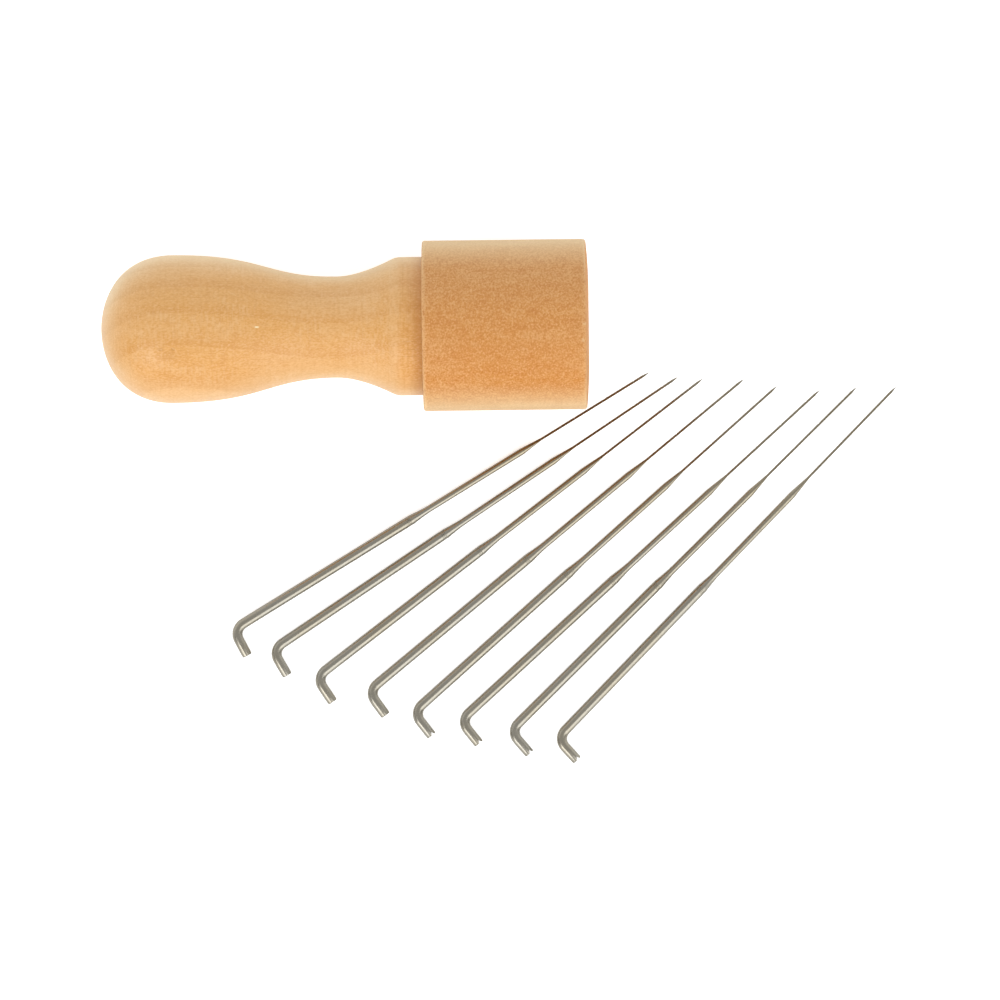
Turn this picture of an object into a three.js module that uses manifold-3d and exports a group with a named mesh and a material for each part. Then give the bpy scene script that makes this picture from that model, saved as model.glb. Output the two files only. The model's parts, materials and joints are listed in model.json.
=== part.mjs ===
// A turned wooden felting tool with its set of felting needles, in millimetres, +Z up.
// The holder lies on its bulb and on the rear rim of its screw cap, and the needles lie beside it.
// The needles are loaded by unscrewing the cap, dropping each one through a hole in its floor and
// screwing the cap back, which clamps the bent cranks against the end of the handle's spigot.
import * as THREE from "three";
import * as BufferGeometryUtils from "three/addons/utils/BufferGeometryUtils.js";
import Module from "manifold-3d";

const wasm = await Module();
wasm.setup();

// Handle: stations are measured along its axis from the end of the bulb
const bulbRadius = 13.3;
const bulbPeakAt = 12.9;
const bulbTipHandle = 5.8;
const bulbPeakHandle = 9.6;
const neckStartHandle = 16.3;
const neckEndHandle = 12.5;
const waistAt = 42.3;
const waistRadius = 9.1;
const flareHandle = 4.3;
const flareSlope = 0.46;
const shoulderSoftness = 0.75;
const collarRadius = 12.45;
const visibleCollar = 4.7;
const collarEntry = 2.0;
const reliefRadius = 10.9;
const reliefWidth = 1.6;
const spigotRadius = 11.75;
const spigotChamfer = 1.2;

// Cap: stations are measured along the axis from the open rear face
const capRadius = 15.32;
const capLength = 29.8;
const floorThickness = 8.0;
const rearRimRound = 0.45;
const frontRimRound = 0.6;
const crownStartRadius = 6.5;
const crownDrop = 0.4;
const mouthChamfer = 0.35;
const collarClearance = 0.3;
const threadClearance = 0.3;
const counterboreRunout = 0.6;
const seatGap = 0.3;

// Needle holes in the cap's floor: one in the middle and a ring around it
const ringHoles = 7;
const ringHoleRadius = 8.6;
const holeClearance = 0.1;
const countersinkDepth = 0.9;
const countersinkFlare = 0.6;

// Needle: stations are measured along the shank from the corner where the crank's centre line meets it
const shankRadius = 0.915;
const stepRadius = 0.61;
const bladeHeight = 0.46;
const shankEnd = 37.8;
const stepStart = 41.6;
const swageSoftness = 1.5;
const stepEnd = 61.3;
const bladeStart = 65.6;
const needleReach = 88.5;
const pointLength = 1.3;
const pointFullness = 0.62;
const pointRadius = 0.04;
const crankReach = 5.35;
const crankAngle = 93.5;
const bendRadius = 2.2;
const cutEdgeRound = 0.14;
const cutNotchDepth = 0.6;
const cutNotchHalfWidth = 0.5;
const cutNotchOffset = 0.2;
const barbsPerBlade = 9;
const firstBarbFromPoint = 3.3;
const barbPitch = 2.1;
const barbLength = 0.55;
const barbDepth = 0.07;

// How the set lies: headings are degrees anticlockwise from +X, seen from above
const holderHeading = 0.71;
const bulbEndPlace = { x: -72.15, y: 30.56 };
const needlePlaces = [
  { x: -48.27, y: -23.46, heading: 31.7, uprightCut: false },
  { x: -41.21, y: -27.14, heading: 33.9, uprightCut: false },
  { x: -33.30, y: -32.13, heading: 37.65, uprightCut: false },
  { x: -23.88, y: -34.67, heading: 39.7, uprightCut: false },
  { x: -15.72, y: -38.48, heading: 41.85, uprightCut: true },
  { x: -7.20, y: -39.97, heading: 42.55, uprightCut: true },
  { x: 1.82, y: -41.90, heading: 44.75, uprightCut: true },
  { x: 10.35, y: -43.20, heading: 46.0, uprightCut: true },
];

// Facets
const turnedSides = 56;
const wireSides = 12;
const holeSides = 12;
const bendSteps = 9;
const swageSteps = 3;
const overcut = 1;

// Values worked out from the sizes above
const neckAt = waistAt;
const shoulderAt = waistAt + flareHandle + (collarRadius - waistRadius) / flareSlope - shoulderSoftness;
const mouthAt = shoulderAt + visibleCollar;
const collarEnd = mouthAt + collarEntry;
const boreDepth = capLength - floorThickness;
const spigotEnd = mouthAt + boreDepth - seatGap;
const mouthRadius = collarRadius + collarClearance;
const boreRadius = spigotRadius + threadClearance;
const holeRadius = shankRadius + holeClearance;

function point(along, radius) {
  return new THREE.Vector2(radius, along);
}

function bend(start, startControl, endControl, end, steps) {
  return new THREE.CubicBezierCurve(start, startControl, endControl, end).getPoints(steps).slice(1);
}

function softCorner(start, corner, end, steps) {
  return new THREE.QuadraticBezierCurve(start, corner, end).getPoints(steps).slice(1);
}

// A closed solid with shared corners and no collapsed facets
function solidFrom(geometry) {
  const bare = geometry.clone();
  bare.deleteAttribute("normal");
  bare.deleteAttribute("uv");
  const merged = BufferGeometryUtils.mergeVertices(bare, 1e-4);
  const index = merged.index.array;
  const facets = [];
  for (let i = 0; i < index.length; i += 3) {
    const [a, b, c] = [index[i], index[i + 1], index[i + 2]];
    if (a !== b && b !== c && c !== a) facets.push(a, b, c);
  }
  const mesh = new wasm.Mesh({
    numProp: 3,
    vertProperties: Float32Array.from(merged.attributes.position.array),
    triVerts: Uint32Array.from(facets),
  });
  return new wasm.Manifold(mesh);
}

function geometryFrom(solid) {
  const mesh = solid.getMesh();
  const geometry = new THREE.BufferGeometry();
  geometry.setAttribute("position", new THREE.BufferAttribute(Float32Array.from(mesh.vertProperties), 3));
  geometry.setIndex(new THREE.BufferAttribute(Uint32Array.from(mesh.triVerts), 1));
  geometry.computeVertexNormals();
  return geometry;
}

// A turned piece whose axis runs along +X, with flats rather than a corner at the underside
function turned(profile, sides) {
  const geometry = new THREE.LatheGeometry(profile, sides, Math.PI / sides, Math.PI * 2);
  geometry.rotateZ(-Math.PI / 2);
  return geometry;
}

// Handle profile: bulb, waist, flared shoulder, collar, thread relief and spigot
function handleProfile() {
  const bulbEnd = point(0, 0);
  const bulbPeak = point(bulbPeakAt, bulbRadius);
  const waist = point(neckAt, waistRadius);
  const flareEnd = point(shoulderAt, collarRadius - shoulderSoftness * flareSlope);
  const shoulderCorner = point(shoulderAt + shoulderSoftness, collarRadius);
  const reliefEnd = collarEnd + reliefWidth;
  return [
    bulbEnd,
    ...bend(bulbEnd, point(0, bulbTipHandle), point(bulbPeakAt - bulbPeakHandle, bulbRadius), bulbPeak, 12),
    ...bend(bulbPeak, point(bulbPeakAt + neckStartHandle, bulbRadius),
      point(neckAt - neckEndHandle, waistRadius), waist, 12),
    ...bend(waist, point(neckAt + flareHandle, waistRadius),
      point(shoulderAt - shoulderSoftness, collarRadius - 2 * shoulderSoftness * flareSlope), flareEnd, 7),
    ...softCorner(flareEnd, shoulderCorner, point(shoulderAt + 2 * shoulderSoftness, collarRadius), 3),
    point(collarEnd, collarRadius),
    point(collarEnd, reliefRadius),
    point(reliefEnd, reliefRadius),
    point(reliefEnd + (spigotRadius - reliefRadius), spigotRadius),
    point(spigotEnd - spigotChamfer, spigotRadius),
    point(spigotEnd, spigotRadius - spigotChamfer),
    point(spigotEnd, 0),
  ];
}

// Cap profile: flat floor, bore, counterbore, chamfered mouth, rounded rims and crowned front face
function capProfile() {
  const crownEdge = point(capLength - crownDrop, capRadius - frontRimRound);
  const crownControl = point(capLength, (crownStartRadius + capRadius) / 2);
  const counterboreDepth = collarEntry + counterboreRunout;
  const rimStart = point(0, capRadius - rearRimRound);
  const wallEnd = point(capLength - crownDrop - frontRimRound, capRadius);
  return [
    point(boreDepth, 0),
    point(boreDepth, boreRadius),
    point(counterboreDepth, boreRadius),
    point(counterboreDepth, mouthRadius),
    point(mouthChamfer, mouthRadius),
    point(0, mouthRadius + mouthChamfer),
    rimStart,
    ...softCorner(rimStart, point(0, capRadius), point(rearRimRound, capRadius), 3),
    wallEnd,
    ...softCorner(wallEnd, point(capLength - crownDrop, capRadius), crownEdge, 3),
    ...softCorner(crownEdge, crownControl, point(capLength, crownStartRadius), 4),
    point(capLength, 0),
  ];
}

// A cutter for one needle hole, flared where it opens into the bore
function holeCutter() {
  const profile = [
    point(boreDepth - overcut, 0),
    point(boreDepth - overcut, holeRadius + countersinkFlare),
    point(boreDepth, holeRadius + countersinkFlare),
    point(boreDepth + countersinkDepth, holeRadius),
    point(capLength + overcut, holeRadius),
    point(capLength + overcut, 0),
  ];
  return solidFrom(turned(profile, holeSides));
}

function capSolid() {
  let cap = solidFrom(turned(capProfile(), turnedSides));
  const cutter = holeCutter();
  cap = cap.subtract(cutter);
  for (let i = 0; i < ringHoles; i += 1) {
    const angle = (i / ringHoles) * Math.PI * 2;
    const offset = [0, ringHoleRadius * Math.sin(angle), ringHoleRadius * Math.cos(angle)];
    cap = cap.subtract(cutter.translate(offset));
  }
  return cap;
}

// A closed skin over a row of rings that all have the same number of corners
function loft(rings) {
  const sides = rings[0].length;
  const positions = rings.flat().flatMap((corner) => [corner.x, corner.y, corner.z]);
  const facets = [];
  for (let i = 0; i + 1 < rings.length; i += 1) {
    for (let j = 0; j < sides; j += 1) {
      const a = i * sides + j;
      const b = i * sides + (j + 1) % sides;
      facets.push(a, b, b + sides, a, b + sides, a + sides);
    }
  }
  const last = (rings.length - 1) * sides;
  for (let j = 1; j + 1 < sides; j += 1) {
    facets.push(0, j + 1, j);
    facets.push(last, last + j, last + j + 1);
  }
  const geometry = new THREE.BufferGeometry();
  geometry.setAttribute("position", new THREE.Float32BufferAttribute(positions, 3));
  geometry.setIndex(facets);
  return geometry;
}

// One ring of the wire: its shape goes from a circle (blade 0) to the blade's triangle (blade 1),
// which has one edge pointing sideways, away from the crank
function wireRing(centre, heading, radius, blade) {
  const side = new THREE.Vector3(-Math.sin(heading), Math.cos(heading), 0);
  const inradius = bladeHeight / 3;
  const ring = [];
  for (let j = 0; j < wireSides; j += 1) {
    const angle = (j / wireSides) * Math.PI * 2;
    const third = Math.PI * 2 / 3;
    const fromFace = (angle % third) - third / 2;
    const triangle = (inradius / Math.cos(fromFace)) * (radius / stepRadius);
    const reach = THREE.MathUtils.lerp(radius, triangle, blade);
    const corner = side.clone().multiplyScalar(reach * Math.cos(angle)).add(centre);
    corner.z += reach * Math.sin(angle);
    ring.push(corner);
  }
  return ring;
}

function crankTangentLength() {
  return bendRadius * Math.tan(THREE.MathUtils.degToRad(180 - crankAngle) / 2);
}

function crankRings() {
  const crankHeading = THREE.MathUtils.degToRad(180 - crankAngle);
  const inward = new THREE.Vector3(Math.cos(crankHeading), Math.sin(crankHeading), 0);
  const end = inward.clone().multiplyScalar(-crankReach);
  const edge = end.clone().addScaledVector(inward, cutEdgeRound);
  const rings = [
    wireRing(end, crankHeading, shankRadius - cutEdgeRound, 0),
    wireRing(edge, crankHeading, shankRadius, 0),
  ];
  const bendCentre = new THREE.Vector3(crankTangentLength(), -bendRadius, 0);
  for (let i = 0; i <= bendSteps; i += 1) {
    const heading = crankHeading * (1 - i / bendSteps);
    const side = new THREE.Vector3(-Math.sin(heading), Math.cos(heading), 0);
    rings.push(wireRing(bendCentre.clone().addScaledVector(side, bendRadius), heading, shankRadius, 0));
  }
  return rings;
}

// The swage narrows the shank to the step: it starts at a crisp corner and runs out softly
function swageStations() {
  const stations = [];
  for (let i = 0; i <= swageSteps; i += 1) {
    const part = i / swageSteps;
    const narrowed = 1 - (1 - part) ** swageSoftness;
    stations.push({
      along: THREE.MathUtils.lerp(shankEnd, stepStart, part),
      radius: THREE.MathUtils.lerp(shankRadius, stepRadius, narrowed),
      blade: 0,
    });
  }
  return stations;
}

// The straight part: shank, swaged step, thinner step, and the draw down to the triangular blade
function straightRings() {
  const pointStart = needleReach - pointLength;
  const stations = [
    ...swageStations(),
    { along: stepEnd, radius: stepRadius, blade: 0 },
    { along: bladeStart, radius: stepRadius, blade: 1 },
    { along: pointStart, radius: stepRadius, blade: 1 },
    { along: (pointStart + needleReach) / 2, radius: stepRadius * pointFullness, blade: 1 },
    { along: needleReach, radius: pointRadius, blade: 1 },
  ];
  return stations.map(({ along, radius, blade }) =>
    wireRing(new THREE.Vector3(along, 0, 0), 0, radius, blade));
}

// A prism whose triangular section lies in the plane of its first two axes
function prism(corners, width) {
  const section = new THREE.Shape(corners);
  const geometry = new THREE.ExtrudeGeometry(section, { depth: width, bevelEnabled: false });
  geometry.translate(0, 0, -width / 2);
  return geometry;
}

// One barb: the steep wall faces the point and the ramp runs out towards it
function barbCutter(fromPoint, turn) {
  const edgeRadius = bladeHeight * 2 / 3;
  const wall = needleReach - fromPoint;
  const corners = [
    new THREE.Vector2(wall, edgeRadius + barbDepth),
    new THREE.Vector2(wall - barbDepth / 2, edgeRadius - barbDepth),
    new THREE.Vector2(wall + barbLength, edgeRadius + barbDepth / 2),
  ];
  const geometry = prism(corners, bladeHeight);
  geometry.rotateX(turn);
  return solidFrom(geometry);
}

// The shear leaves a shallow V across the end of the crank, a little to one side of its middle
function cutNotchCutter(upright) {
  const corners = [
    new THREE.Vector2(cutNotchDepth, 0),
    new THREE.Vector2(-overcut, cutNotchHalfWidth * (1 + overcut / cutNotchDepth)),
    new THREE.Vector2(-overcut, -cutNotchHalfWidth * (1 + overcut / cutNotchDepth)),
  ];
  const geometry = prism(corners, 4 * shankRadius);
  if (!upright) geometry.rotateX(Math.PI / 2);
  geometry.translate(-crankReach, -cutNotchOffset, 0);
  geometry.rotateZ(THREE.MathUtils.degToRad(180 - crankAngle));
  return solidFrom(geometry);
}

function needleGeometry(uprightCut) {
  let needle = solidFrom(loft([...crankRings(), ...straightRings()]));
  needle = needle.subtract(cutNotchCutter(uprightCut));
  for (let i = 0; i < barbsPerBlade; i += 1) {
    const turn = (i % 3) * (Math.PI * 2 / 3);
    needle = needle.subtract(barbCutter(firstBarbFromPoint + i * barbPitch, turn));
  }
  return geometryFrom(needle);
}

// Lowest corner of a geometry once its +X end is raised by the tilt
function lowestCorner(geometry, tilt) {
  const position = geometry.attributes.position;
  let lowest = Infinity;
  for (let i = 0; i < position.count; i += 1) {
    lowest = Math.min(lowest, position.getX(i) * Math.sin(tilt) + position.getZ(i) * Math.cos(tilt));
  }
  return lowest;
}

// The holder rests on its bulb and on the cap's rear rim, so both touch down at the same tilt
function restingTilt(handle, cap) {
  let low = 0;
  let high = Math.PI / 8;
  for (let i = 0; i < 40; i += 1) {
    const middle = (low + high) / 2;
    if (lowestCorner(cap, middle) < lowestCorner(handle, middle)) low = middle;
    else high = middle;
  }
  return (low + high) / 2;
}

const wood = { roughness: 0.6, metalness: 0 };
const handleWood = new THREE.MeshStandardMaterial({ color: 0xdcae78, ...wood });
const capWood = new THREE.MeshStandardMaterial({ color: 0xd69a62, ...wood });
const needleSteel = new THREE.MeshStandardMaterial({ color: 0x9c968a, roughness: 0.35, metalness: 1 });

function named(name, geometry, material) {
  const mesh = new THREE.Mesh(geometry, material);
  mesh.name = name;
  return mesh;
}

function buildHolder() {
  const handle = geometryFrom(solidFrom(turned(handleProfile(), turnedSides)));
  const cap = geometryFrom(capSolid());
  cap.translate(mouthAt, 0, 0);
  const tilt = restingTilt(handle, cap);
  const holder = new THREE.Group();
  holder.add(named("handle", handle, handleWood), named("needle_cap", cap, capWood));
  holder.rotation.order = "ZYX";
  holder.rotation.set(0, -tilt, THREE.MathUtils.degToRad(holderHeading));
  holder.position.set(bulbEndPlace.x, bulbEndPlace.y, -lowestCorner(handle, tilt));
  return holder;
}

function buildNeedle(place, number) {
  const needle = named(`needle_${number}`, needleGeometry(place.uprightCut), needleSteel);
  needle.position.set(place.x, place.y, shankRadius);
  needle.rotation.z = THREE.MathUtils.degToRad(place.heading);
  return needle;
}

// The origin is under the middle of the whole set, on the surface that it lies on
function centred(pieces) {
  const set = new THREE.Group();
  set.add(...pieces);
  set.updateMatrixWorld(true);
  const middle = new THREE.Box3().setFromObject(set, true).getCenter(new THREE.Vector3());
  set.position.set(-middle.x, -middle.y, 0);
  const group = new THREE.Group();
  group.add(set);
  return group;
}

const needles = needlePlaces.map((place, i) => buildNeedle(place, i + 1));
const group = centred([buildHolder(), ...needles]);

export default group;
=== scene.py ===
"""Looks of a turned wooden felting tool and its loose felting needles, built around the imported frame."""

import json
import math
from types import SimpleNamespace

import bpy
from mathutils import Euler, Matrix, Vector
from mathutils.geometry import interpolate_bezier


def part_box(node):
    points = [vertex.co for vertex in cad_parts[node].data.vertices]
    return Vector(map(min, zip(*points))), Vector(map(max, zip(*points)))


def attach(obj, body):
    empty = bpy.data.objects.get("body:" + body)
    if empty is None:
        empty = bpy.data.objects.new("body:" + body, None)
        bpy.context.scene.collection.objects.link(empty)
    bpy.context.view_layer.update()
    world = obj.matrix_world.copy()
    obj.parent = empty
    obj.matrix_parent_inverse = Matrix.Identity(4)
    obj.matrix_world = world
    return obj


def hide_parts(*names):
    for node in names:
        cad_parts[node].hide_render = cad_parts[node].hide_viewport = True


bl_info = {
    "name": "Multi-needle felting tool",
    "version": (1, 0, 0),
    "blender": (4, 5, 0),
    "location": "View3D > Sidebar > Felting tool",
    "description": "Models a turned wooden felting tool with its set of felting needles",
    "category": "Object",
}

MM = 0.001

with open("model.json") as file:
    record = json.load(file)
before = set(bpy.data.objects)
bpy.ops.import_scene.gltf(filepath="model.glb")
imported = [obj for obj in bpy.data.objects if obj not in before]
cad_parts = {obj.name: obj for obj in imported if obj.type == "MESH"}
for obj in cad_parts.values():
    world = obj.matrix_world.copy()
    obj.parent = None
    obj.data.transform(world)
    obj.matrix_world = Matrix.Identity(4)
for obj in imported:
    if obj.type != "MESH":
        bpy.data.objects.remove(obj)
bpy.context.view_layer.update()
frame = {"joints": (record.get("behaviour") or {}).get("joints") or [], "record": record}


# Places taken from the frame

def named_entry(entries, name):
    return next(entry for entry in entries if entry["name"] == name)


HOLDER_AXIS = Vector(named_entry(frame["joints"], "cap_unscrews")["axis"]).normalized()
FACE_MOUNT = Vector(named_entry(frame["record"]["mounts"], "cap_face")["pos_m"])
FACE_MOUNT_OFF_AXIS = 3.6 * MM
HOLDER_LENGTH = 87.6326 * MM
# Headings of needle_1 to needle_8, in degrees from the X axis
NEEDLE_HEADINGS = (31.7, 33.9, 37.65, 39.7, 41.85, 42.55, 44.75, 46.0)
UPRIGHT_CUTS = ("needle_5", "needle_6", "needle_7", "needle_8")


def holder_rotation():
    heading = math.atan2(HOLDER_AXIS.y, HOLDER_AXIS.x)
    tilt = math.asin(HOLDER_AXIS.z)
    return Euler((0, -tilt, heading))


def holder_place():
    """Matrix from millimetres along the holder's axis, counted from the bulb end, to the frame."""
    rotation = holder_rotation().to_matrix()
    face_centre = FACE_MOUNT - rotation @ Vector((0, 0, FACE_MOUNT_OFF_AXIS))
    bulb_end = face_centre - HOLDER_AXIS * HOLDER_LENGTH
    return Matrix.Translation(bulb_end) @ rotation.to_4x4() @ Matrix.Scale(MM, 4)


def needle_place(node, heading, reach):
    """Matrix from the needle's own millimetres to the frame: its point is the node's far corner."""
    low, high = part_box(node)
    turn = Matrix.Rotation(math.radians(heading), 4, "Z")
    direction = turn @ Vector((1, 0, 0))
    tip = Vector((high.x, high.y, (low.z + high.z) / 2))
    return Matrix.Translation(tip - direction * reach * MM) @ turn @ Matrix.Scale(MM, 4)


# Settings that a user would change

def srgb(red, green, blue):
    """Linear colour from the 0 to 255 values of a colour picker."""
    def linear(value):
        value /= 255
        return value / 12.92 if value <= 0.04045 else ((value + 0.055) / 1.055) ** 2.4
    return (linear(red), linear(green), linear(blue))


def amount(name, description, default, **limits):
    return bpy.props.FloatProperty(name=name, description=description, default=default, **limits)


def length(name, description, millimetres, least=0):
    return amount(name, description, millimetres * MM, min=least, unit="LENGTH", precision=5)


def angle(name, description, degrees):
    return amount(name, description, math.radians(degrees), subtype="ANGLE")


def power(name, description, watts):
    return amount(name, description, watts, min=0, unit="POWER")


def count(name, description, default, **limits):
    return bpy.props.IntProperty(name=name, description=description, default=default, **limits)


def colour(name, description, value):
    return bpy.props.FloatVectorProperty(name=name, description=description, default=value,
                                         size=3, min=0, max=1, subtype="COLOR")


class HandleSizes(bpy.types.PropertyGroup):
    bulb_radius: length("Bulb radius", "Radius at the fullest part of the bulb", 13.3)
    bulb_peak_at: length("Bulb peak", "Distance from the bulb end to its fullest part", 12.9)
    waist_radius: length("Waist radius", "Radius at the narrowest part of the handle", 9.1)
    waist_at: length("Waist", "Distance from the bulb end to the waist", 42.3)
    collar_radius: length("Collar radius", "Radius of the collar that enters the cap", 12.45)
    shoulder_at: length("Shoulder", "Distance from the bulb end to the start of the shoulder's edge", 53.13)
    mouth_at: length("Cap mouth", "Distance from the bulb end to the cap's rear face", 57.83)
    collar_entry: length("Collar entry", "Length of the collar inside the cap", 2.0)
    relief_radius: length("Relief radius", "Radius of the groove behind the thread", 10.9)
    relief_width: length("Relief width", "Width of the groove behind the thread", 1.6)
    thread_radius: length("Thread radius", "Radius over the crests of the spigot's thread", 11.75)
    thread_depth: length("Thread depth", "Depth of the thread on the spigot", 0.8)
    thread_pitch: length("Thread pitch", "Advance of the thread in one turn", 2.5)
    spigot_end: length("Spigot end", "Distance from the bulb end to the end of the spigot", 79.33)
    spigot_chamfer: length("Spigot chamfer", "Chamfer on the end of the spigot", 1.2)


class CapSizes(bpy.types.PropertyGroup):
    radius: length("Radius", "Outside radius of the cap", 15.32)
    length: length("Length", "Length of the cap along its axis", 29.8)
    floor: length("Floor", "Thickness of the floor that the needles pass through", 8.0)
    rear_rim_round: length("Rear rim", "Rounding of the rim round the mouth", 0.5)
    front_rim_round: length("Front rim", "Rounding of the rim round the needle face", 0.7)
    crown_start: length("Crown start", "Radius where the flat middle of the face ends", 6.5)
    crown_drop: length("Crown drop", "How far the face falls back at its rim", 0.4)
    mouth_radius: length("Mouth radius", "Radius of the counterbore that takes the collar", 12.75)
    counterbore: length("Counterbore", "Depth of the counterbore", 2.6)
    bore_radius: length("Bore radius", "Radius at the roots of the cap's thread", 12.05)
    hole_ring_radius: length("Hole ring", "Radius of the ring of needle holes", 8.6)
    hole_radius: length("Hole radius", "Radius of each needle hole", 1.015)
    ring_holes: count("Ring holes", "Needle holes round the middle one", 7, min=3)


class NeedleSizes(bpy.types.PropertyGroup):
    shank_radius: length("Shank radius", "Radius of the thick shank", 0.915)
    step_radius: length("Step radius", "Radius of the thinner middle", 0.61)
    blade_height: length("Blade height", "Height of the triangular blade's section", 0.42)
    shank_end: length("Shank end", "Distance from the bend to the end of the thick shank", 37.8)
    step_start: length("Step start", "Distance from the bend to the thinner middle", 41.6)
    step_end: length("Step end", "Distance from the bend to the end of the thinner middle", 61.3)
    blade_start: length("Blade start", "Distance from the bend to the triangular blade", 65.6)
    reach: length("Reach", "Distance from the bend to the point", 88.5)
    point_length: length("Point length", "Length of the tapered point", 1.3)
    crank_reach: length("Crank reach", "Length of the bent crank, from the shank's axis", 5.35)
    bend_radius: length("Bend radius", "Radius of the bend along the wire's axis", 2.2)
    crank_angle: angle("Crank angle", "Angle between crank and shank", 93.5)
    barbs: count("Barbs", "Barbs on the blade, edge after edge", 9, min=0)
    barb_pitch: length("Barb pitch", "Distance from one barb to the next", 2.1)
    first_barb: length("First barb", "Distance from the point to the first barb", 3.3)


class Finishes(bpy.types.PropertyGroup):
    handle_wood: colour("Handle wood", "Main colour of the handle's wood", srgb(216, 158, 86))
    handle_late: colour("Handle late wood", "Colour of the handle's darker growth", srgb(199, 134, 54))
    handle_pale: colour("Handle pale wood", "Colour of the handle's paler growth", srgb(223, 179, 128))
    cap_wood: colour("Cap wood", "Main colour of the cap's wood", srgb(198, 132, 62))
    cap_late: colour("Cap late wood", "Colour of the cap's darker growth", srgb(185, 110, 36))
    cap_pale: colour("Cap pale wood", "Colour of the cap's paler flecks", srgb(212, 160, 104))
    # Pale colour painted into the wood as a sheen where it is seen at a grazing angle; the pale flecks and
    # chips take it too
    painted_sheen_and_fleck: colour("Grazing bloom", "Colour of sanded fibres seen at a grazing angle", srgb(241, 231, 190))
    steel: colour("Steel", "Colour of the polished needle wire", srgb(153, 149, 138))
    steel_warm: colour("Tempered steel", "Colour of the warmer patches on the wire", srgb(152, 142, 120))
    steel_blade: colour("Blade steel", "Colour of the darker blade", srgb(122, 113, 94))


class Studio(bpy.types.PropertyGroup):
    scale: amount("Picture scale", "Pixels to a millimetre on the floor", 5.52, min=0.1)
    picture: count("Picture width", "Width of the picture in pixels", 1000, min=1, subtype="PIXEL")
    camera_distance: length("Camera distance", "From the middle of the picture to the camera", 2000)
    camera_lean: angle("Camera lean", "Lean of the camera towards the bulb", 2.0)
    centre_x: length("Centre X", "Middle of the picture on the floor, along X", 0.158, least=-1)
    centre_y: length("Centre Y", "Middle of the picture on the floor, along Y", 0.370, least=-1)
    key_power: power("Key light", "Power of the large softbox", 6.4)
    fill_power: power("Fill light", "Power of the softbox opposite", 3.9)
    side_power: power("Side light", "Power of the low softbox on the left", 1.1)
    strip_power: power("Strip light", "Power of the long softbox in front", 1.5)
    front: amount("Front", "Level of the room in front of the set", 0.5, min=0)
    back: amount("Back", "Level of the room behind the set", 1.3, min=0)
    zenith: amount("Zenith", "Level of the room overhead", 0.7, min=0)
    floor_lift: amount("Floor lift", "Whitening of the floor in the picture", 0.5, min=0)
    mirror_lift: amount("Mirror lift", "Whitening of the floor seen in metal", 0.1, min=0)


def setting_names(group):
    """Names of a group's own settings, without those that every group has."""
    return [name for name in group.bl_rna.properties.keys() if name not in {"rna_type", "name"}]


def in_millimetres(group):
    """The values of a group of settings, with its lengths in millimetres."""
    values = {name: getattr(group, name) for name in setting_names(group)}
    for name in values:
        if group.bl_rna.properties[name].unit == "LENGTH":
            values[name] /= MM
    return SimpleNamespace(**values)


# Modelling helpers: pieces are modelled in millimetres and put in place when they are finished

SMOOTH_BELOW = math.radians(32)
SAME_PLACE = 0.001


def add_object(operator, name, **settings):
    """Adds a primitive, a light or the camera, with nothing else selected."""
    bpy.ops.object.select_all(action="DESELECT")
    operator(**settings)
    added = bpy.context.active_object
    added.name = name
    added.data.name = name
    return added


def make_active(*pieces):
    """Selects these pieces alone and makes the first one active."""
    bpy.ops.object.select_all(action="DESELECT")
    for piece in pieces:
        piece.select_set(True)
    bpy.context.view_layer.objects.active = pieces[0]


def enter_edit(piece, select="SELECT"):
    make_active(piece)
    bpy.ops.object.mode_set(mode="EDIT")
    bpy.ops.mesh.select_mode(type="VERT")
    bpy.ops.mesh.select_all(action=select)


def leave_edit():
    bpy.ops.object.mode_set(mode="OBJECT")


def faced_outwards(piece):
    enter_edit(piece)
    bpy.ops.mesh.normals_make_consistent()
    leave_edit()
    return piece


def extrude_by(offset):
    bpy.ops.mesh.extrude_region_move(TRANSFORM_OT_translate={"value": offset})


def apply_modifiers(piece):
    make_active(piece)
    for modifier in list(piece.modifiers):
        bpy.ops.object.modifier_apply(modifier=modifier.name)


def join_pieces(pieces):
    make_active(*pieces)
    bpy.ops.object.join()
    return pieces[0]


def cut_with(piece, cutter):
    boolean = piece.modifiers.new("cut", "BOOLEAN")
    boolean.operation = "DIFFERENCE"
    boolean.solver = "EXACT"
    boolean.object = cutter
    apply_modifiers(piece)
    bpy.data.objects.remove(cutter)
    return piece


def copy_of(piece, name):
    twin = piece.copy()
    twin.data = piece.data.copy()
    twin.name = name
    twin.data.name = name
    bpy.context.scene.collection.objects.link(twin)
    return twin


def put_in_place(piece, place):
    """Moves the finished piece into the frame, with its place in its mesh, and smooths its turned faces."""
    make_active(piece)
    piece.matrix_world = place
    bpy.ops.object.transform_apply()
    bpy.ops.object.shade_smooth_by_angle(angle=SMOOTH_BELOW)


def turn_on_lathe(name, outline, steps=144):
    """Draws an outline of (along, radius) points edge by edge and spins it round the X axis."""
    piece = add_object(bpy.ops.mesh.primitive_plane_add, name, size=1)
    enter_edit(piece)
    bpy.ops.mesh.merge(type="CENTER")
    along, radius = outline[0]
    bpy.ops.transform.translate(value=(along, 0, radius))
    for next_along, next_radius in outline[1:]:
        extrude_by((next_along - along, 0, next_radius - radius))
        along, radius = next_along, next_radius
    bpy.ops.mesh.select_all(action="SELECT")
    bpy.ops.mesh.spin(steps=steps, angle=math.tau, center=(0, 0, 0), axis=(1, 0, 0))
    bpy.ops.mesh.select_all(action="SELECT")
    bpy.ops.mesh.remove_doubles(threshold=SAME_PLACE)
    leave_edit()
    return faced_outwards(piece)


def curve_points(start, start_handle, end_handle, end, steps):
    """Points of one Bezier stretch of an outline, without its first point."""
    corners = [Vector((*corner, 0)) for corner in (start, start_handle, end_handle, end)]
    points = interpolate_bezier(*corners, steps + 1)
    return [(point.x, point.y) for point in points[1:]]


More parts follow.
